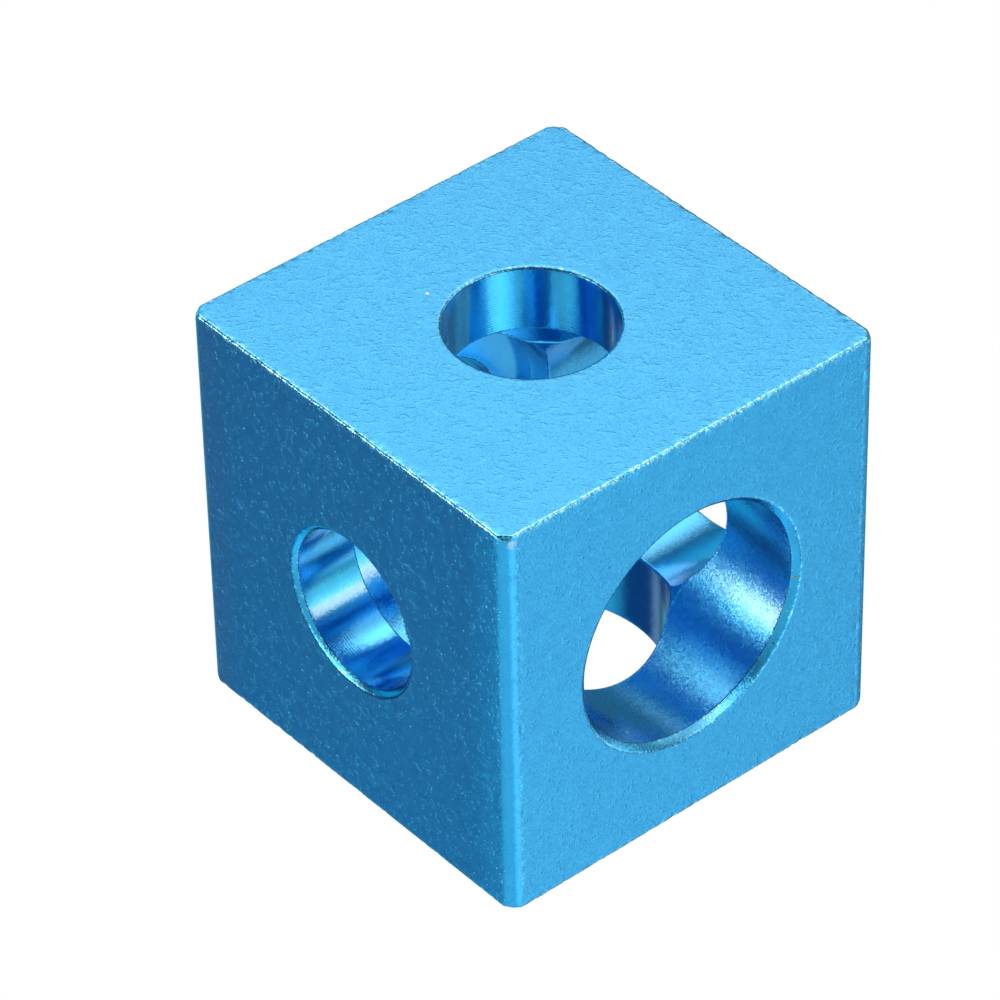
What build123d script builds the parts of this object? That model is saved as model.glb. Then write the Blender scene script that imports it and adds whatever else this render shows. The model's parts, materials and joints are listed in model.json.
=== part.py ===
from build123d import *
import math
import os

# Driving dimensions, in millimetres.
side = 20.0  # the cube, as wide as the profile it joins
corner_radius = 0.6  # rolled edges of the extruded bar, the four upright ones
end_edge_break = 0.12  # the sawn ends, broken by hand all round
bolt_hole_diameter = 7.4  # passes the shank of an M6 screw
bolt_hole_chamfer = 0.2  # at the face that meets the profile
access_bore_diameter = 11.4  # passes the screw's head and its key
access_bore_chamfer = 0.3  # at the open mouth
seat_wall = 3.2  # left under the screw's head
point_relief = 0.28  # taken off each point that the crossing bores leave

# Worked out from the sizes above.
half_side = side / 2
bolt_hole_radius = bolt_hole_diameter / 2
access_bore_radius = access_bore_diameter / 2
# Three equal bores that cross leave eight points this far from the middle.
point_distance = access_bore_radius * math.sqrt(1.5)

# Every bore runs from its bolt hole, on a mating face, to its open access
# mouth on the face across. The mating faces, -X, -Y and +Z, share one corner.
bore_directions = ((1, 0, 0), (0, 1, 0), (0, 0, -1))


def bar_length():
    """One side's length of square bar, rounded along and broken at both ends."""
    section = RectangleRounded(side, side, corner_radius)
    bar = Pos(0, 0, -half_side) * extrude(section, side)
    ends = bar.faces().filter_by(GeomType.PLANE).filter_by(Axis.Z)
    return chamfer(ends.edges(), end_edge_break)


def stepped_bore():
    """What the tools take out along one axis: bolt hole, flat seat, access bore.

    It lies along Z, with the bolt hole at the bottom. Each chamfer's cone goes
    on past its face, so that the cut leaves a clean mouth.
    """
    past_face = 2 * access_bore_chamfer
    low, high = -half_side, half_side
    with BuildPart() as cutter:
        with BuildSketch(Plane.XZ):
            with BuildLine():
                Polyline(
                    (0, low - past_face),
                    (bolt_hole_radius + bolt_hole_chamfer + past_face, low - past_face),
                    (bolt_hole_radius, low + bolt_hole_chamfer),
                    (bolt_hole_radius, low + seat_wall),
                    (access_bore_radius, low + seat_wall),
                    (access_bore_radius, high - access_bore_chamfer),
                    (access_bore_radius + access_bore_chamfer + past_face, high + past_face),
                    (0, high + past_face),
                    close=True,
                )
            make_face()
        revolve(axis=Axis.Z)
    return cutter.part


def corner_block():
    """The block: three stepped bores that cross in the middle of the bar."""
    block = bar_length()
    for direction in bore_directions:
        block -= Plane(origin=(0, 0, 0), z_dir=direction) * stepped_bore()
    return block - Sphere(point_distance + point_relief)


os.makedirs("parts", exist_ok=True)
export_step(corner_block(), "parts/corner_block.step")
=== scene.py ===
import json
import math

import bmesh
import bpy
from mathutils import Matrix, Vector


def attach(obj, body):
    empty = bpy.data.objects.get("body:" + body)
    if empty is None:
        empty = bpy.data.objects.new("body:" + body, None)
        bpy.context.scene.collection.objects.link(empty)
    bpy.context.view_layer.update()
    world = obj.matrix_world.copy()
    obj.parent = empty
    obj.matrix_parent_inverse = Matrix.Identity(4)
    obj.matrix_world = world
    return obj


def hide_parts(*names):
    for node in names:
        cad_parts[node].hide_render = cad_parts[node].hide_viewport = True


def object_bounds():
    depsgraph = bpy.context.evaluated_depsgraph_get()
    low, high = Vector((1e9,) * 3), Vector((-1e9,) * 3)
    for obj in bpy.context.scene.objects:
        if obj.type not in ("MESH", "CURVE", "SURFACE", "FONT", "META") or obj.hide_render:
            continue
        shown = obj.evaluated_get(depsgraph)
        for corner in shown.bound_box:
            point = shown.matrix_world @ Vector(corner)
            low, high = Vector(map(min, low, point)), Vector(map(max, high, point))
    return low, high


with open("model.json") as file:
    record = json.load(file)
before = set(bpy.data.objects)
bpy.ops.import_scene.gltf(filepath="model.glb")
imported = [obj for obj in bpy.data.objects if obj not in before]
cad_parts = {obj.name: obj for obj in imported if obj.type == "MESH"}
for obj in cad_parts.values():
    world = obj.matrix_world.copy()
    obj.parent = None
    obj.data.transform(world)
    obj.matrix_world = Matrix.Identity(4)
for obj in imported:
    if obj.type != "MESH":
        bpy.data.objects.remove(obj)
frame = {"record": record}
cadLow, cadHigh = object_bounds()
mounts = {mount["name"]: mount for mount in frame["record"]["mounts"]}
mm = 0.001  # the block is worked out in millimetres and made metres at the end

print("block: sizes")
block = {
    "seatWall": 3.2,  # left under each screw head
    "cornerRadius": 0.6,  # upright edges of the drawn bar
    "endBreak": 0.14,  # edges round the sawn top and bottom
    "boltChamfer": 0.2,
    "topChamfer": 0.08,  # the top bolt hole is only deburred
    "accessChamfer": 0.3,
    "pointRelief": 0.28,  # off the eight points between the bores
    "mouthRound": 0.2,  # where a chamfer runs out into its face
    "mouthCrease": 0.7,  # how dark the painted shade line along a mouth's outer edge is
    "mouthReach": 0.3,  # how far past its chamfer a mouth's rows go on
    "turnedRound": 0.07,  # the other turned corners
    "wearReach": 0.25,  # how far from an edge its wear shows
    "rimWear": 0.7,  # how worn the bores' rims are beside the cube's own edges
    "cornerKnock": 0.09,  # off each corner of the cube
    "knockRound": 0.1,  # how far round a knocked corner its edges are eased
    "knockWear": 0.6,
    "sideRings": 0.5,  # how deep the side holes' rings are beside the top hole's
}
meshPlan = {
    "straightSteps": 184,  # along a straight edge of the top or bottom
    "arcSteps": 8,  # round an upright edge
    "uprightSteps": 200,  # up an upright edge
    "breakSteps": 4,
    "quarterSteps": 48,  # round a quarter of an access bore
    "reliefSteps": 8,  # of those, across one knocked-off point
    "boltRows": 92,
    "wallRows": 8,
    "boltSideWallRows": 4,
    "crossingRows": (0.0, 0.04, 0.09, 0.16),  # in from where two bores meet
    "crossingWear": 0.1,  # how far in from there the wear goes
    "crossingSmoothing": 3,
    "faceRows": (0.05, 0.14, 0.27, 0.42),  # in from the edge of a face
}
halfSide = (cadHigh.x - cadLow.x) / 2 / mm
boltRadius = mounts["bolt_hole_x"]["dims"]["r_mm"]
accessRadius = mounts["access_bore_x"]["dims"]["r_mm"]
seatHeight = halfSide - block["seatWall"]
flatHalf = halfSide - block["cornerRadius"]  # where an upright edge's roll starts
uprightHalf = halfSide - block["endBreak"]  # where the end's broken edge starts
reliefRadius = accessRadius * math.sqrt(1.5) + block["pointRelief"]
reliefHeight = math.sqrt(reliefRadius**2 - accessRadius**2)

finishes = ("sawnEnd", "drawnSide", "boltWall", "satinBore", "smoothBore", "brokenEdge")
sawnEnd, drawnSide, boltWall, satinBore, smoothBore, brokenEdge = range(len(finishes))
# Each side: its axis, across, up, its own finish, the finish of its wide bore and the chamfer
# at its mouth. The side across from a wide bore has the bolt hole of the same axis.
sides = (
    ((1, 0, 0), (0, 1, 0), (0, 0, 1), drawnSide, "access", satinBore, block["accessChamfer"]),
    ((-1, 0, 0), (0, -1, 0), (0, 0, 1), drawnSide, "bolt", satinBore, block["boltChamfer"]),
    ((0, 1, 0), (-1, 0, 0), (0, 0, 1), drawnSide, "access", smoothBore, block["accessChamfer"]),
    ((0, -1, 0), (1, 0, 0), (0, 0, 1), drawnSide, "bolt", smoothBore, block["boltChamfer"]),
    ((0, 0, 1), (1, 0, 0), (0, 1, 0), sawnEnd, "bolt", smoothBore, block["topChamfer"]),
    ((0, 0, -1), (1, 0, 0), (0, -1, 0), sawnEnd, "access", smoothBore, block["accessChamfer"]),
)


def steps(first, last, count):
    return [first + (last - first) * i / count for i in range(count)]


def boreAngles():
    # The relief's ends fall on a step, so the knocked-off points keep their corners.
    relief = math.acos(reliefHeight / accessRadius)
    wide = meshPlan["quarterSteps"] - meshPlan["reliefSteps"]
    quarter = steps(0, relief, wide // 2)
    quarter += steps(relief, math.pi / 2 - relief, meshPlan["reliefSteps"])
    quarter += steps(math.pi / 2 - relief, math.pi / 2, wide // 2)
    return [angle + turn * math.pi / 2 for turn in range(4) for angle in quarter]


def crossingHeight(angle):
    # Where this bore's wall ends: at the next bore, or at a knocked-off point.
    reach = max(abs(math.cos(angle)), abs(math.sin(angle)))
    return max(accessRadius * reach, reliefHeight)


def turnedRows(corners):
    # Rows of (place, finish, wear, painted shade line) along a turned outline. A corner is its
    # radius, height, rounding, the rows on to the next corner and that stretch's finish.
    arcs = []
    for i, (radius, height, rounding, rows, finish) in enumerate(corners):
        here = Vector((radius, height))
        if i in (0, len(corners) - 1):
            arcs.append([here])
            continue
        back = (Vector(corners[i - 1][:2]) - here).normalized()
        ahead = (Vector(corners[i + 1][:2]) - here).normalized()
        reach = rounding * math.tan((math.pi - back.angle(ahead)) / 2)
        first, last = here + back * reach, here + ahead * reach
        arcs.append([
            first * (1 - t) ** 2 + here * 2 * t * (1 - t) + last * t**2
            for t in (0, 0.25, 0.5, 0.75, 1)
        ])
    standsOut = [False]
    for before, here, after in zip(corners, corners[1:], corners[2:]):
        along = Vector(here[:2]) - Vector(before[:2])
        ahead = Vector(after[:2]) - Vector(here[:2])
        standsOut.append(along.cross(ahead) < 0)
    standsOut.append(False)
    edges = [Vector(here[:2]) for here, crisp in zip(corners, standsOut) if crisp]
    rows = []
    for i, arc in enumerate(arcs):
        finish = corners[i][4]
        # Outstanding corners get a painted shade line, darkest in the middle rows of a turned
        # corner.
        isTurned = corners[i][2] == block["turnedRound"]
        depth = 1 if isTurned else block["mouthCrease"]
        for place, crease in zip(arc, (0, depth, depth, depth, 0)):
            here = brokenEdge if len(arc) > 1 else finish
            rows.append((place, here, crease if standsOut[i] else 0))
        if i < len(arcs) - 1:
            for place in steps(arc[-1], arcs[i + 1][0], corners[i][3])[1:]:
                rows.append((place, finish, 0))
            rows.append((arcs[i + 1][0], finish, 0))
    tidy = []
    for place, finish, crease in rows:
        if tidy and (place - tidy[-1][0]).length < 1e-6:
            continue
        nearest = min((place - edge).length for edge in edges)
        wear = block["rimWear"] * max(0, 1 - nearest / block["wearReach"])
        tidy.append((place, finish, wear, crease))
    return tidy


def mouthCorners(lip, faceFinish):
    return [
        (lip, halfSide, block["mouthRound"], 2, faceFinish),
        (lip + block["mouthReach"], halfSide, 0, 0, faceFinish),
    ]


def accessRows(chamfer, wallFinish, faceFinish):
    return turnedRows([
        (accessRadius, halfSide - chamfer - 1, 0, 4, wallFinish),
        (accessRadius, halfSide - chamfer, block["turnedRound"], 2, brokenEdge),
    ] + mouthCorners(accessRadius + chamfer, faceFinish))


def boltRows(chamfer, wallFinish, faceFinish):
    rounding = block["turnedRound"]
    return turnedRows([
        (accessRadius, seatHeight - 0.3, 0, 2, wallFinish),
        (accessRadius, seatHeight, rounding, 6, boltWall),
        (boltRadius, seatHeight, rounding, meshPlan["boltRows"], boltWall),
        (boltRadius, halfSide - chamfer, rounding, 2, brokenEdge),
    ] + mouthCorners(boltRadius + chamfer, faceFinish))


def endLoop(inset, height):
    # A rounded square at one height, from the middle of its +X side, anticlockwise.
    flat, reach = flatHalf, halfSide - inset
    turn = block["cornerRadius"] - inset
    quarter = [(reach, y) for y in steps(0, flat, meshPlan["straightSteps"] // 2)]
    for i in range(meshPlan["arcSteps"]):
        angle = math.pi / 2 * i / meshPlan["arcSteps"]
        quarter.append((flat + turn * math.cos(angle), flat + turn * math.sin(angle)))
    quarter += [(x, reach) for x in steps(flat, 0, meshPlan["straightSteps"] // 2)]
    loop = []
    for x, y in ((1, 0), (0, 1), (-1, 0), (0, -1)):
        loop += [Vector((x * a - y * b, y * a + x * b, height)) for a, b in quarter]
    return loop


def sideLoop(axis, across, up, inset):
    # A side face's edge, from the middle of its +across edge, anticlockwise.
    a, b = flatHalf - inset, uprightHalf - inset
    rise, run = meshPlan["uprightSteps"] // 2, meshPlan["straightSteps"]
    outline = [(a, v) for v in steps(0, b, rise)]
    outline += [(u, b) for u in steps(a, -a, run)]
    outline += [(-a, v) for v in steps(b, -b, 2 * rise)]
    outline += [(u, -b) for u in steps(-a, a, run)]
    outline += [(a, v) for v in steps(-b, 0, rise)]
    return [axis * halfSide + across * u + up * v for u, v in outline]


class BlockMesh:
    def __init__(self):
        self.bm = bmesh.new()
        self.wear = self.bm.verts.layers.float.new("wear")
        self.nick = self.bm.verts.layers.float.new("nick")
        self.ringWeight = self.bm.verts.layers.float.new("ringWeight")
        self.ringHeight = self.bm.verts.layers.float.new("ringHeight")
        self.crossing = self.bm.verts.layers.float.new("crossing")
        # Painted shade along the outstanding turned corners and mouths.
        self.crease = self.bm.verts.layers.float.new("crease")
        self.finish = self.bm.faces.layers.int.new("finish")

    def loop(self, places, **values):
        made = []
        for place in places:
            vert = self.bm.verts.new(place)
            for name, value in values.items():
                vert[getattr(self, name)] = value
            made.append(vert)
        return made

    def face(self, verts, finish):
        self.bm.faces.new(verts)[self.finish] = finish

    def band(self, inner, outer, finish, closed=True):
        # Joins two loops. The outer one may have a whole number of steps to each inner one.
        share = len(outer) // len(inner) if closed else 1
        for i in range(len(inner) if closed else len(inner) - 1):
            j = (i + 1) % len(inner)
            fine = [outer[(share * i + k) % len(outer)] for k in range(share + 1)]
            self.face([inner[j], inner[i]] + fine, finish)


def boreWall(mesh, axis, across, up, access, wallFinish, rows, angles):
    # One bore from the crossing out to its face: returns the last loop, on the face.
    def ring(radius, heights, turns, **values):
        places = [
            axis * height + (across * math.cos(turn) + up * math.sin(turn)) * radius
            for height, turn in zip(heights, turns)
        ]
        return mesh.loop(places, **values)

    first = rows[0][0].y
    loops = []
    for offset in meshPlan["crossingRows"]:
        heights = [crossingHeight(angle) + offset for angle in angles]
        near = 1 if offset < meshPlan["crossingWear"] else 0
        loops.append(ring(accessRadius, heights, angles, wear=near, crossing=near))
    start = meshPlan["crossingRows"][-1]
    count = meshPlan["wallRows" if access else "boltSideWallRows"]
    for i in range(1, count):
        heights = [
            (crossingHeight(angle) + start) * (1 - i / count) + first * i / count
            for angle in angles
        ]
        loops.append(ring(accessRadius, heights, angles))
    for inner, outer in zip(loops, loops[1:]):
        mesh.band(inner, outer, wallFinish)
    last, turns = loops[-1], angles
    halfway = (accessRadius + boltRadius) / 2
    ringWeight = 1 if axis.z > 0 else block["sideRings"]
    for place, finish, wear, crease in rows:
        onHole = abs(place.x - boltRadius) < 1e-6
        if not access and len(turns) == len(angles) and place.x < halfway:
            # The bolt hole takes every second column.
            turns = angles[::2]
            here = ring(place.x, [place.y] * len(turns), turns, wear=wear, crease=crease)
            mesh.band(here, last, finish)
        else:
            here = ring(
                place.x, [place.y] * len(turns), turns, wear=wear, crease=crease,
                ringWeight=ringWeight if onHole else 0, ringHeight=place.y,
            )
            mesh.band(last, here, finish)
        last = here
    return last


def knockOffPoints(mesh):
    # The eight points between the bores become small faces on one sphere.
    rims = [edge for edge in mesh.bm.edges if edge.is_boundary]
    for x in (-1, 1):
        for y in (-1, 1):
            for z in (-1, 1):
                out = Vector((x, y, z)).normalized()
                near = [e for e in rims if all((v.co.normalized() @ out) > 0.95 for v in e.verts)]
                made = bmesh.ops.edgeloop_fill(mesh.bm, edges=near)["faces"]
                poked = bmesh.ops.poke(mesh.bm, faces=made)
                for vert in poked["verts"]:
                    vert.co = out * reliefRadius
                for face in poked["faces"]:
                    face[mesh.finish] = smoothBore


def knockCorners(mesh):
    # The cube's own corners lose their tips: what stands past the limit is pressed back.
    flat = (halfSide - block["cornerRadius"] * (1 - math.sqrt(0.5))) * 2 / math.sqrt(3)
    limit = flat + halfSide / math.sqrt(3) - block["cornerKnock"]
    for vert in mesh.bm.verts:
        out = Vector([math.copysign(1, each) for each in vert.co]).normalized()
        past = vert.co @ out - limit + block["knockRound"]
        if past > 0:
            vert.co -= out * past * min(1, past / (2 * block["knockRound"]))
            vert[mesh.wear] = max(vert[mesh.wear], block["knockWear"])


def baseBlock():
    mesh = BlockMesh()
    angles = boreAngles()
    faceRows = (0.0,) + meshPlan["faceRows"]
    reach = block["wearReach"]
    for axis, across, up, finish, kind, wallFinish, chamfer in sides:
        axis, across, up = Vector(axis), Vector(across), Vector(up)
        access = kind == "access"
        rows = (accessRows if access else boltRows)(chamfer, wallFinish, finish)
        last = boreWall(mesh, axis, across, up, access, wallFinish, rows, angles)
        isEnd = finish == sawnEnd
        loops = []
        for row in reversed(faceRows):
            if isEnd:
                places = endLoop(block["endBreak"] + row, axis.z * halfSide)
                if axis.z < 0:
                    places = [Vector((p.x, -p.y, p.z)) for p in places]
            else:
                places = sideLoop(axis, across, up, row)
            near = max(0, 1 - row / reach)
            loops.append(mesh.loop(places, wear=near, nick=near))
        for inner, outer in zip([last] + loops, loops):
            mesh.band(inner, outer, finish)
    for end in (-1, 1):
        loops = []
        for i in range(meshPlan["breakSteps"] + 1):
            angle = math.pi / 2 * i / meshPlan["breakSteps"]
            inset = block["endBreak"] * (1 - math.cos(angle))
            height = uprightHalf + block["endBreak"] * math.sin(angle)
            loops.append(mesh.loop(endLoop(inset, end * height), wear=1, nick=1))
        for inner, outer in zip(loops, loops[1:]):
            mesh.band(inner, outer, brokenEdge)
    rise = meshPlan["uprightSteps"]
    for cornerX in (-1, 1):
        for cornerY in (-1, 1):
            columns = []
            for i in range(meshPlan["arcSteps"] + 1):
                angle = math.pi / 2 * i / meshPlan["arcSteps"]
                x = cornerX * (flatHalf + block["cornerRadius"] * math.cos(angle))
                y = cornerY * (flatHalf + block["cornerRadius"] * math.sin(angle))
                heights = steps(-uprightHalf, uprightHalf, rise) + [uprightHalf]
                columns.append(mesh.loop([Vector((x, y, z)) for z in heights]))
            for inner, outer in zip(columns, columns[1:]):
                mesh.band(inner, outer, drawnSide, closed=False)
    bmesh.ops.remove_doubles(mesh.bm, verts=mesh.bm.verts, dist=1e-3)
    knockOffPoints(mesh)
    knockCorners(mesh)
    for _ in range(meshPlan["crossingSmoothing"]):
        crossing = [vert for vert in mesh.bm.verts if vert[mesh.crossing] > 0]
        bmesh.ops.smooth_vert(
            mesh.bm, verts=crossing, factor=0.5, use_axis_x=True, use_axis_y=True, use_axis_z=True
        )
    bmesh.ops.recalc_face_normals(mesh.bm, faces=mesh.bm.faces)
    for face in mesh.bm.faces:
        face.smooth = True
    data = bpy.data.meshes.new("baseBlock")
    mesh.bm.to_mesh(data)
    for material in materials:
        data.materials.append(material)
    openEdges = sum(1 for edge in mesh.bm.edges if not edge.is_manifold)
    print("block: base mesh,", len(data.polygons), "faces,", openEdges, "open edges")
    mesh.bm.free()
    return data


def addNode(tree, kind, inputs=None, **settings):
    made = tree.nodes.new(kind)
    for name, value in settings.items():
        setattr(made, name, value)
    for socket, value in (inputs or {}).items():
        if isinstance(value, bpy.types.NodeSocket):
            tree.links.new(value, made.inputs[socket])
        else:
            made.inputs[socket].default_value = value
    return made


def mathNode(tree, operation, *values):
    inputs = dict(enumerate(values))
    return addNode(tree, "ShaderNodeMath", inputs, operation=operation).outputs[0]


def remap(tree, value, fromLow, fromHigh, toLow=0.0, toHigh=1.0, smooth=False):
    inputs = {0: value, 1: fromLow, 2: fromHigh, 3: toLow, 4: toHigh}
    shape = "SMOOTHSTEP" if smooth else "LINEAR"
    return addNode(tree, "ShaderNodeMapRange", inputs, interpolation_type=shape).outputs[0]


def blend(tree, share, under, over):
    # Mixes two colours. The one underneath may be worked out by other nodes.
    if isinstance(under, tuple):
        under += (1,)
    inputs = {"Factor": share, 6: under, 7: over + (1,)}
    return addNode(tree, "ShaderNodeMix", inputs, data_type="RGBA").outputs[2]


print("finishes: anodised aluminium")
dye = {
    "light": (0.045, 0.46, 0.86),
    "deep": (0.035, 0.43, 0.82),
    "bare": (0.34, 0.72, 0.93),  # where an edge has lost its colour
    "crease": (0.01, 0.09, 0.16),  # painted shade along the outstanding turned corners and mouths
}
finishPlans = {
    # Each ripple is its size, its depth, how much it is drawn out along x, y and z, its turn
    # about z, and the part of the noise that it steps up in. Flecks are small facets: their
    # size, draw and lean, then the share that are dimples and how far those face upwards.
    # The Y sides fall away a little towards their upright edges: from where, to where, the lean.
    "sawnEnd": {
        "roughness": (0.34, 0.4),
        "coatRoughness": 0.35,
        "ripples": (
            (0.26, 0.005, (0.75, 1, 1), 38, (0.55, 0.67)),
            (0.16, 0.002, (0.7, 1, 1), 38, (0, 1)),
        ),
        "flecks": (0.05, (1, 1, 1), 0.04, 0.0, 0.0),
        "worn": 0.4,
    },
    "drawnSide": {
        "roughness": (0.34, 0.4),
        "coatRoughness": 0.35,
        "ripples": (
            (0.12, 0.001, (1, 1, 0.5), 0, (0, 1)),
            (0.16, 0.0025, (1, 1, 0.03), 0, (0, 1)),
            (0.24, 0.01, (0.9, 0.9, 0.8), 0, (0.61, 0.69)),
        ),
        "flecks": (0.06, (1, 1, 0.8), 0.055, 0.03, 0.27),
        "fallAway": (7.2, 9.0, 0.1),
        "worn": 0.4,
    },
    "boltWall": {
        "roughness": (0.16, 0.2),
        "coatRoughness": 0.12,
        "ripples": ((0.3, 0.0015, (1, 1, 1), 0, (0, 1)),),
        "flecks": (0.05, (1, 1, 1), 0.015, 0.0, 0.0),
        "worn": 0.1,
    },
    "satinBore": {
        "roughness": (0.25, 0.29),
        "coatRoughness": 0.22,
        "ripples": ((0.4, 0.002, (1, 1, 1), 0, (0, 1)),),
        "flecks": (0.05, (1, 1, 1), 0.045, 0.0, 0.0),
        "worn": 0.9,
    },
    "smoothBore": {
        "roughness": (0.16, 0.2),
        "coatRoughness": 0.12,
        "ripples": ((0.5, 0.002, (1, 1, 1), 0, (0, 1)),),
        "flecks": (0.05, (1, 1, 1), 0.02, 0.0, 0.0),
        "worn": 0.4,
    },
    "brokenEdge": {
        "roughness": (0.2, 0.26),
        "coatRoughness": 0.15,
        "ripples": ((0.15, 0.003, (1, 1, 1), 0, (0, 1)),),
        "flecks": (0.06, (1, 1, 1), 0.05, 0.0, 0.0),
        "worn": 0.8,
    },
}
# The size of each uneven patch, and the part of its noise that it runs through.
patchPlans = {
    "shade": (0.9, (0.35, 0.65)),
    # The ragged edge of the painted shade line.
    "crease": (0.1, (1.1, 1.35)),
    "rubbed": (0.16, (0.7, 0.8)),
    "mark": (0.1, (1.0, 1.4)),
    "gloss": (0.5, (0.3, 0.7)),
}
coat = {
    "ior": 1.55,
    "creaseShare": 0.85,  # how much of the dye's colour the painted shade line takes over
    "rubbedByWear": 0.25,  # how much sooner a worn edge is rubbed
    "edgeDents": (0.1, 0.02),  # the size and depth of the dents along worn edges
}
marks = {
    # Nicks down to bright metal, specks of dirt and a painted highlight: the middle of each, its
    # reach, its colour.
    "sawnEnd": (((-4.31, -1.96, 10), (0.12, 0.09, 0.3), (0.85, 0.85, 0.85)),),
    "drawnSide": (((10, -9.6, 9.6), (0.3, 0.3, 0.25), (0.5, 0.5, 0.8)),),
    # A painted highlight: a warm white glint on the top bolt hole's wall.
    "boltWall": (((0.97, 3.57, 8.0), (0.07, 0.15, 0.55), (0.9, 0.8, 0.65)),),
    "satinBore": (((8.8, -2.6, -5.08), (0.13, 0.2, 0.15), (0.9, 0.9, 0.9)),),
    "brokenEdge": (
        ((9.84, 5.81, -0.71), (0.2, 0.12, 0.09), (0.55, 0.25, 0.1)),
        ((9.94, 4.59, -3.63), (0.2, 0.06, 0.06), (0.01, 0.02, 0.06)),
        ((9.95, 5.38, -2.31), (0.2, 0.06, 0.06), (0.6, 0.6, 0.55)),
    ),
}


def anodised(name, plan):
    material = bpy.data.materials.new(name)
    material.use_nodes = True
    tree = material.node_tree
    shader = tree.nodes["Principled BSDF"]
    shader.inputs["Metallic"].default_value = 1.0
    shader.inputs["Coat Weight"].default_value = 1.0
    shader.inputs["Coat IOR"].default_value = coat["ior"]
    shader.inputs["Coat Roughness"].default_value = plan["coatRoughness"]
    place = addNode(tree, "ShaderNodeTexCoord").outputs["Object"]

    def drawn(size, stretch, turn=0):
        turned = addNode(tree, "ShaderNodeMapping", {
            "Vector": place, "Rotation": (0, 0, -math.radians(turn)),
        }).outputs[0]
        return addNode(tree, "ShaderNodeMapping", {
            "Vector": turned, "Scale": [each / (size * mm) for each in stretch],
        }).outputs[0]

    def grain(size, stretch=(1, 1, 1), turn=0, detail=2.0):
        inputs = {"Vector": drawn(size, stretch, turn), "Scale": 1.0, "Detail": detail}
        return addNode(tree, "ShaderNodeTexNoise", inputs).outputs["Fac"]

    size, stretch, lean, share, dimple = plan["flecks"]
    cell = addNode(tree, "ShaderNodeTexVoronoi", {
        "Vector": drawn(size, stretch), "Scale": 1.0,
    }).outputs["Color"]
    aside = addNode(tree, "ShaderNodeVectorMath", {
        0: cell, 1: (2 * lean,) * 3, 2: (-lean,) * 3,
    }, operation="MULTIPLY_ADD").outputs[0]
    flat = addNode(tree, "ShaderNodeNewGeometry").outputs["Normal"]
    leant = addNode(tree, "ShaderNodeVectorMath", {0: flat, 1: aside}).outputs[0]
    if share:
        pick = addNode(tree, "ShaderNodeSeparateColor", {0: cell}).outputs[0]
        upward = addNode(tree, "ShaderNodeCombineXYZ", {
            2: mathNode(tree, "MULTIPLY", mathNode(tree, "LESS_THAN", pick, share), dimple),
        }).outputs[0]
        leant = addNode(tree, "ShaderNodeVectorMath", {0: leant, 1: upward}).outputs[0]
    if "fallAway" in plan:
        start, end, steepest = plan["fallAway"]
        along = addNode(tree, "ShaderNodeSeparateXYZ", {0: place}).outputs[0]
        far = mathNode(tree, "ABSOLUTE", along)
        lean = remap(tree, far, start * mm, end * mm, 0, steepest, smooth=True)
        outward = addNode(tree, "ShaderNodeCombineXYZ", {
            0: mathNode(tree, "MULTIPLY", mathNode(tree, "SIGN", along), lean),
        }).outputs[0]
        leant = addNode(tree, "ShaderNodeVectorMath", {0: leant, 1: outward}).outputs[0]
    normal = addNode(tree, "ShaderNodeVectorMath", {0: leant}, operation="NORMALIZE").outputs[0]
    for size, depth, stretch, turn, (low, high) in plan["ripples"]:
        height = remap(tree, grain(size, stretch, turn), low, high, smooth=high < 1)
        normal = addNode(tree, "ShaderNodeBump", {
            "Height": height, "Distance": depth * mm, "Strength": 1.0, "Normal": normal,
        }).outputs["Normal"]
    wear = addNode(tree, "ShaderNodeAttribute", attribute_name="wear").outputs["Fac"]
    size, depth = coat["edgeDents"]
    normal = addNode(tree, "ShaderNodeBump", {
        "Height": grain(size), "Distance": depth * mm, "Strength": wear, "Normal": normal,
    }).outputs["Normal"]
    tree.links.new(normal, shader.inputs["Normal"])
    tree.links.new(normal, shader.inputs["Coat Normal"])
    size, (low, high) = patchPlans["shade"]
    colour = blend(tree, remap(tree, grain(size), low, high), dye["deep"], dye["light"])
    # Painted shade: a dark line along the outstanding turned corners and mouths.
    size, (low, high) = patchPlans["crease"]
    crease = addNode(tree, "ShaderNodeAttribute", attribute_name="crease").outputs["Fac"]
    crease = mathNode(tree, "ADD", crease, grain(size, detail=3.0))
    crease = remap(tree, crease, low, high, 0, coat["creaseShare"])
    colour = blend(tree, crease, colour, dye["crease"])
    size, (low, high) = patchPlans["rubbed"]
    patches = mathNode(tree, "MULTIPLY_ADD", wear, coat["rubbedByWear"], grain(size, detail=4.0))
    colour = blend(tree, remap(tree, patches, low, high, 0, plan["worn"]), colour, dye["bare"])
    size, (low, high) = patchPlans["mark"]
    # Each mark is painted into the colour; the bolt wall's mark is a painted highlight.
    for middle, reach, tint in marks.get(name, ()):
        aside = addNode(tree, "ShaderNodeVectorMath", {
            0: place, 1: [each * mm for each in middle],
        }, operation="SUBTRACT").outputs[0]
        aside = addNode(tree, "ShaderNodeVectorMath", {
            0: aside, 1: [1 / (each * mm) for each in reach],
        }, operation="MULTIPLY").outputs[0]
        away = addNode(tree, "ShaderNodeVectorMath", {0: aside}, operation="LENGTH")
        away = mathNode(tree, "ADD", away.outputs["Value"], grain(size))
        colour = blend(tree, remap(tree, away, low, high, 1, 0), colour, tint)
    tree.links.new(colour, shader.inputs["Base Color"])
    size, (low, high) = patchPlans["gloss"]
    roughness = remap(tree, grain(size), low, high, *plan["roughness"])
    tree.links.new(roughness, shader.inputs["Roughness"])
    return material


materials = [anodised(name, finishPlans[name]) for name in finishes]

print("block: tool rings and nicked edges")
workedSurface = {
    "Ring Pitch": 0.125,
    "Ring Depth": 0.002,
    "Nick Size": 0.3,
    "Nick Depth": 0.045,
    "Seed": 7.0,
}
nickNoise = (0.5, 0.72)  # the part of the noise that a nick runs through


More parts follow.
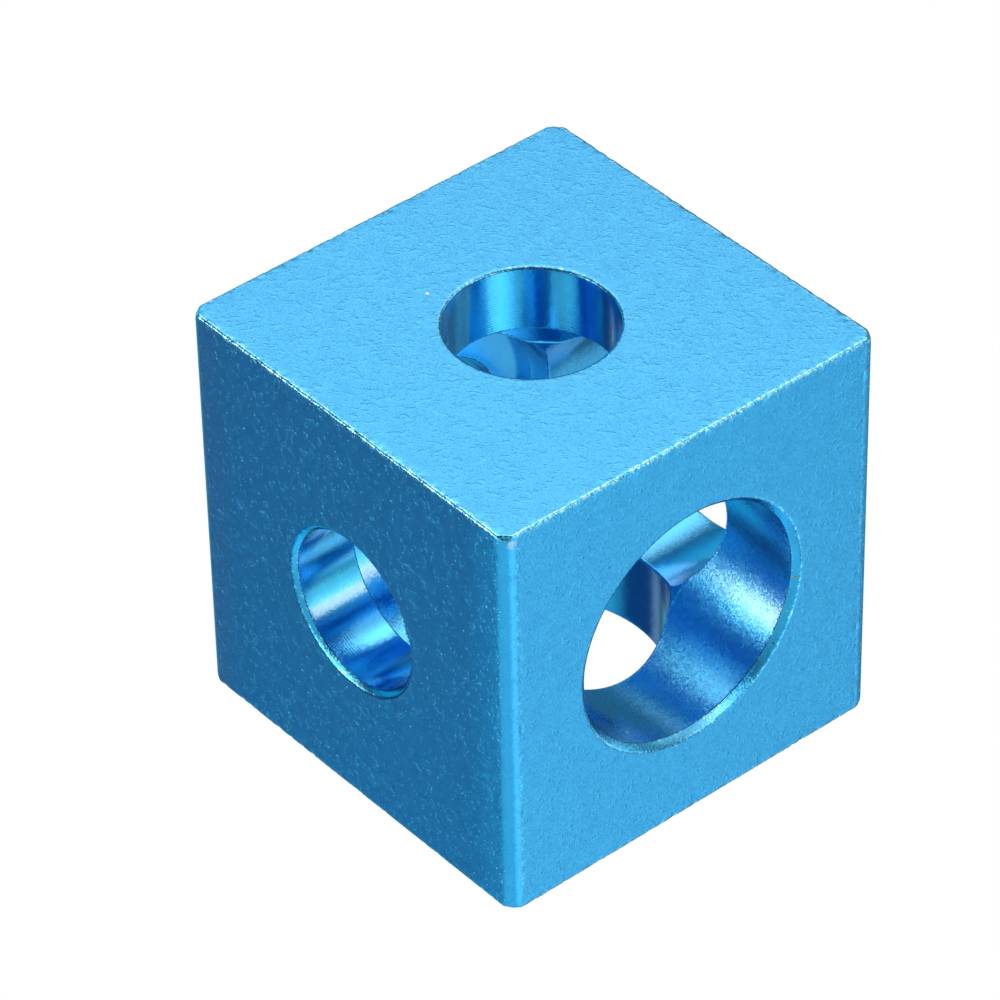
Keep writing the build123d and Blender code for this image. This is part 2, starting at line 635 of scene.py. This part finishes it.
def workedSurfaceTree():
    tree = bpy.data.node_groups.new("workedSurface", "GeometryNodeTree")
    sockets = {}
    tree.interface.new_socket("Geometry", in_out="INPUT", socket_type="NodeSocketGeometry")
    for name, value in workedSurface.items():
        socket = tree.interface.new_socket(name, in_out="INPUT", socket_type="NodeSocketFloat")
        socket.default_value = value
        sockets[name] = socket.identifier
    tree.interface.new_socket("Geometry", in_out="OUTPUT", socket_type="NodeSocketGeometry")
    given = addNode(tree, "NodeGroupInput").outputs

    def marked(name, kind="FLOAT"):
        return addNode(
            tree, "GeometryNodeInputNamedAttribute", {"Name": name}, data_type=kind
        ).outputs["Attribute"]

    turns = mathNode(tree, "DIVIDE", marked("ringHeight"), given["Ring Pitch"])
    ring = mathNode(tree, "SINE", mathNode(tree, "MULTIPLY", turns, 2 * math.pi))
    ring = mathNode(tree, "MULTIPLY", ring, mathNode(tree, "MULTIPLY", given["Ring Depth"], 0.5))
    ring = mathNode(tree, "MULTIPLY", ring, marked("ringWeight"))
    place = addNode(tree, "GeometryNodeInputPosition").outputs[0]
    spots = addNode(tree, "ShaderNodeTexNoise", {
        "Vector": place, "W": given["Seed"], "Detail": 3.0,
        "Scale": mathNode(tree, "DIVIDE", 1.0, given["Nick Size"]),
    }, noise_dimensions="4D").outputs["Fac"]
    nick = mathNode(tree, "MULTIPLY", remap(tree, spots, *nickNoise), given["Nick Depth"])
    nick = mathNode(tree, "MULTIPLY", nick, marked("nick"))
    normal = addNode(tree, "GeometryNodeInputNormal").outputs[0]
    offset = addNode(tree, "ShaderNodeVectorMath", {
        0: normal, "Scale": mathNode(tree, "SUBTRACT", ring, nick),
    }, operation="SCALE").outputs[0]
    geometry = addNode(tree, "GeometryNodeSetPosition", {
        "Geometry": given["Geometry"], "Offset": offset,
    }).outputs[0]
    geometry = addNode(tree, "GeometryNodeRealizeInstances", {0: geometry}).outputs[0]
    finish = marked("finish", "INT")
    for number, material in enumerate(materials):
        chosen = addNode(tree, "FunctionNodeCompare", {
            2: finish, 3: number,
        }, data_type="INT", operation="EQUAL").outputs[0]
        geometry = addNode(tree, "GeometryNodeSetMaterial", {
            "Geometry": geometry, "Selection": chosen, "Material": material,
        }).outputs[0]
    addNode(tree, "NodeGroupOutput", {0: geometry})
    return tree, sockets


def connectorBlock():
    piece = bpy.data.objects.new("connectorBlock", baseBlock())
    bpy.context.scene.collection.objects.link(piece)
    tree, sockets = workedSurfaceTree()
    worked = piece.modifiers.new("workedSurface", "NODES")
    worked.node_group = tree
    for name, value in workedSurface.items():
        worked[sockets[name]] = value
    graph = bpy.context.evaluated_depsgraph_get()
    finished = bpy.data.meshes.new_from_object(piece.evaluated_get(graph))
    piece.modifiers.clear()
    finished.transform(Matrix.Scale(mm, 4))
    piece.data = finished
    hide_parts("corner_block")
    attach(piece, "root")
    triangles = sum(len(face.vertices) - 2 for face in finished.polygons)
    print("block: finished,", triangles, "triangles,", len(finished.materials), "materials")
    return piece


connectorBlock()

print("studio: floor, light tent and camera")
studio = {
    "floorSize": 3.0,
    "floorGap": 0.00005,
    "floorGlow": 1.0,
    "tentBase": (0.015, 0.03, 0.05),
    # Each soft light: its azimuth and elevation, its inner and outer angle, and its colour.
    "softLights": (
        (-122, 66, 20, 40, (1.9, 1.9, 1.8)),
        (-20, 11, 8, 32, (2.6, 3.2, 2.8)),
        (-34, 5, 1, 10, (10, 1.8, 0.8)),
        (104, 26, 10, 27, (1.45, 1.4, 1.25)),
        (86, 38, 4, 20, (0.3, 0.8, 0.9)),
        (102, 39, 1, 10, (4, 1.2, 1.0)),
        (119, 21, 1, 9, (5, 0.8, 0.3)),
        (118, 5, 3, 16, (0.7, 1.1, 0.95)),
        (158, 44, 12, 34, (1.1, 1.05, 1.0)),
        (92, -17, 5, 32, (0.6, 1.2, 1.15)),
        (172, 5, 5, 45, (0.15, 0.25, 0.2)),
        (-145, 2, 15, 38, (0.06, 0.17, 0.2)),
        (-123, 18, 8, 22, (0.0, 0.03, 0.08)),
        (-118, -30, 12, 28, (0.14, 0.54, 0.56)),
        (-49, -76, 20, 35, (0.02, 0.54, 0.72)),
        (-94, 0, 15, 43, (0.0, 0.46, 0.6)),
        (-79, -42, 1, 8, (0.26, 0.3, 0.33)),
        (-50, -39, 10, 34, (0.0, 0.03, 0.12)),
        (30, -13, 24, 60, (0.3, 0.64, 0.66)),
        (40, -64, 10, 30, (0.16, 0.34, 0.38)),
        (40, -40, 6, 22, (0.04, 0.1, 0.12)),
        (110, -38, 10, 33, (0.46, 0.79, 0.85)),
        (154, -16, 8, 24, (0.75, 1.35, 1.45)),
        (122, -64, 6, 22, (0.4, 0.85, 0.95)),
        (-172, -38, 18, 36, (0.03, 0.12, 0.18)),
        (76, -36, 4, 18, (0.06, 0.2, 0.25)),
        (-12, -42, 4, 20, (0.07, 0.34, 0.33)),
    ),
    "backdrop": (1, 1, 1),
}
cameraPlan = {
    "azimuth": 50.37,
    "elevation": 39.36,
    "distance": 0.24452,
    "roll": -1.24,
    "aimRight": -0.001465,
    "aimUp": 0.000433,
    "lens": 209.3,
    "sensorWidth": 36,
    "clip": (0.01, 20),
}


def aimAt(azimuth, elevation):
    turn, rise = math.radians(azimuth), math.radians(elevation)
    return Vector((
        math.sin(turn) * math.cos(rise), -math.cos(turn) * math.cos(rise), math.sin(rise)
    ))


def makeFloor():
    half = studio["floorSize"] / 2
    corners = [(-half, -half), (half, -half), (half, half), (-half, half)]
    data = bpy.data.meshes.new("floor")
    height = cadLow.z - studio["floorGap"]
    data.from_pydata([(x, y, height) for x, y in corners], [], [(0, 1, 2, 3)])
    floor = bpy.data.objects.new("floor", data)
    bpy.context.scene.collection.objects.link(floor)
    material = bpy.data.materials.new("paleFloor")
    material.use_nodes = True
    tree = material.node_tree
    shader = tree.nodes["Principled BSDF"]
    shader.inputs["Base Color"].default_value = (0, 0, 0, 1)
    shader.inputs["Roughness"].default_value = 0.9
    shader.inputs["Specular IOR Level"].default_value = 0.0
    shader.inputs["Emission Color"].default_value = (1, 1, 1, 1)
    shader.inputs["Emission Strength"].default_value = studio["floorGlow"]
    # From below the floor is clear, so that the block's underside shows.
    side = addNode(tree, "ShaderNodeNewGeometry").outputs["Backfacing"]
    clear = addNode(tree, "ShaderNodeBsdfTransparent").outputs[0]
    mixed = addNode(tree, "ShaderNodeMixShader", {0: side, 1: shader.outputs[0], 2: clear})
    tree.links.new(mixed.outputs[0], tree.nodes["Material Output"].inputs["Surface"])
    data.materials.append(material)
    floor.visible_glossy = False
    floor.visible_diffuse = False
    floor.visible_shadow = False


def makeTent():
    world = bpy.data.worlds.new("lightTent")
    world.use_nodes = True
    bpy.context.scene.world = world
    tree = world.node_tree
    ground = tree.nodes["Background"]
    towards = addNode(tree, "ShaderNodeTexCoord").outputs["Generated"]
    total = addNode(tree, "ShaderNodeCombineXYZ", dict(enumerate(studio["tentBase"]))).outputs[0]
    for azimuth, elevation, inner, outer, brightness in studio["softLights"]:
        facing = addNode(tree, "ShaderNodeVectorMath", {
            0: towards, 1: aimAt(azimuth, elevation),
        }, operation="DOT_PRODUCT").outputs["Value"]
        nearness = remap(
            tree, facing, math.cos(math.radians(outer)), math.cos(math.radians(inner)), smooth=True
        )
        light = addNode(tree, "ShaderNodeVectorMath", {
            0: brightness, "Scale": nearness,
        }, operation="SCALE").outputs[0]
        total = addNode(tree, "ShaderNodeVectorMath", {0: total, 1: light}).outputs[0]
    seen = addNode(tree, "ShaderNodeLightPath").outputs["Is Camera Ray"]
    tree.links.new(blend(tree, seen, total, studio["backdrop"]), ground.inputs["Color"])


def makeCamera():
    back = aimAt(cameraPlan["azimuth"], cameraPlan["elevation"])
    turn, roll = math.radians(cameraPlan["azimuth"]), math.radians(cameraPlan["roll"])
    level = Vector((math.cos(turn), math.sin(turn), 0))
    upright = back.cross(level)
    right = level * math.cos(roll) + upright * math.sin(roll)
    up = upright * math.cos(roll) - level * math.sin(roll)
    data = bpy.data.cameras.new("camera")
    data.lens = cameraPlan["lens"]
    data.sensor_width = cameraPlan["sensorWidth"]
    data.clip_start, data.clip_end = cameraPlan["clip"]
    camera = bpy.data.objects.new("camera", data)
    bpy.context.scene.collection.objects.link(camera)
    camera.matrix_world = Matrix((right, up, back)).transposed().to_4x4()
    camera.location = (
        back * cameraPlan["distance"] + right * cameraPlan["aimRight"] + up * cameraPlan["aimUp"]
    )
    bpy.context.scene.camera = camera


makeFloor()
makeTent()
makeCamera()
bpy.context.scene.view_settings.view_transform = "Standard"
